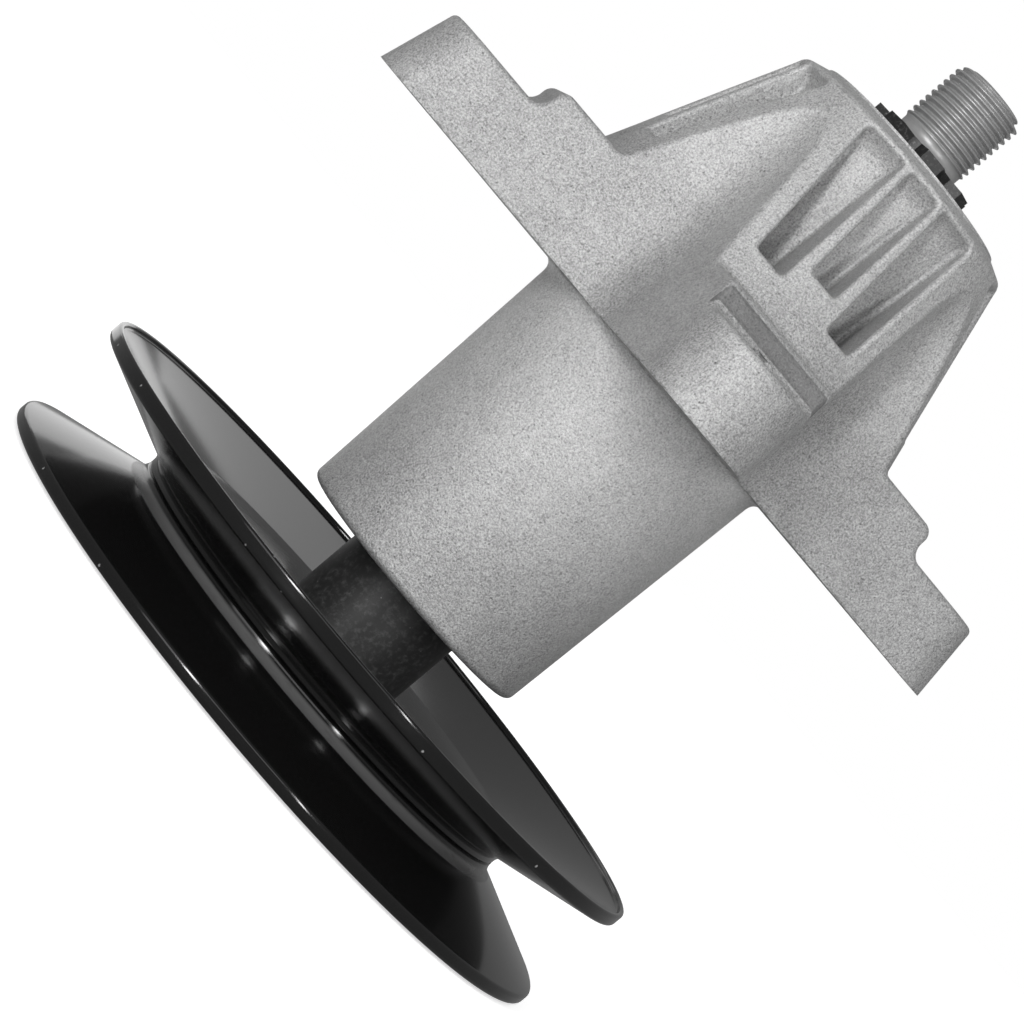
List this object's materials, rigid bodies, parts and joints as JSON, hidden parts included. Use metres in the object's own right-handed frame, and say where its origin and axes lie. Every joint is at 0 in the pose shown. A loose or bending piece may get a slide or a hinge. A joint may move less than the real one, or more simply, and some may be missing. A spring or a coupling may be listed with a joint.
{
  "type": "mower deck spindle",
  "caption": "Die-cast spindle housing with a flange of four arms, a shaft in ball bearings, a V-belt pulley at one end and a star driver with a threaded stud at the other.",
  "frame": {"origin": "on the shaft's axis at the lower rim of the pulley, on which the spindle stands", "axes": "+Z along the shaft from the pulley to the threaded blade end, X along the two long arms of the flange, Y along the two short arms"},
  "size_m": [0.1528, 0.1404, 0.1705],
  "materials": {
    "cast_alloy": "shot-blasted die casting, satin",
    "shaft_steel": "turned and rolled, bright",
    "black_oxide": "black oxide with worn edges",
    "pulley_black": "gloss black paint",
    "spacer_grey": "matt black oxide, mottled",
    "zinc_plate": "zinc plate",
    "bearing_steel": "ground",
    "ball_steel": "polished",
    "cage_steel": "pressed steel",
    "seal_rubber": "moulded rubber"
  },
  "bodies": {
    "housing": {"housing": "cast_alloy", "lower_bearing_outer_ring": "bearing_steel", "lower_bearing_lower_seal": "seal_rubber", "lower_bearing_upper_seal": "seal_rubber", "upper_bearing_outer_ring": "bearing_steel", "upper_bearing_lower_seal": "seal_rubber", "upper_bearing_upper_seal": "seal_rubber"},
    "rotor": {"shaft": "shaft_steel", "star_driver": "black_oxide", "pulley_upper_half": "pulley_black", "pulley_lower_half": "pulley_black", "pulley_spacer": "spacer_grey", "pulley_washer": "zinc_plate", "pulley_nut": "zinc_plate", "bearing_spacer": "shaft_steel", "lower_bearing_inner_ring": "bearing_steel", "upper_bearing_inner_ring": "bearing_steel"},
    "lower_ball_set": {"lower_bearing_cage": "cage_steel", "lower_bearing_balls": "ball_steel"},
    "upper_ball_set": {"upper_bearing_cage": "cage_steel", "upper_bearing_balls": "ball_steel"}
  },
  "joints": [
    {"name": "spindle_spin", "type": "hinge", "parent": "housing", "child": "rotor", "pos_m": [0, 0, 0.0909], "axis": [0, 0, 1], "continuous": true},
    {"name": "lower_ball_orbit", "type": "hinge", "parent": "housing", "child": "lower_ball_set", "pos_m": [0, 0, 0.041], "axis": [0, 0, 1], "continuous": true},
    {"name": "upper_ball_orbit", "type": "hinge", "parent": "housing", "child": "upper_ball_set", "pos_m": [0, 0, 0.1439], "axis": [0, 0, 1], "continuous": true}
  ],
  "couplings": [
    {"joint": "lower_ball_orbit", "follows": "spindle_spin", "ratio": 0.3839},
    {"joint": "upper_ball_orbit", "follows": "spindle_spin", "ratio": 0.3839}
  ]
}
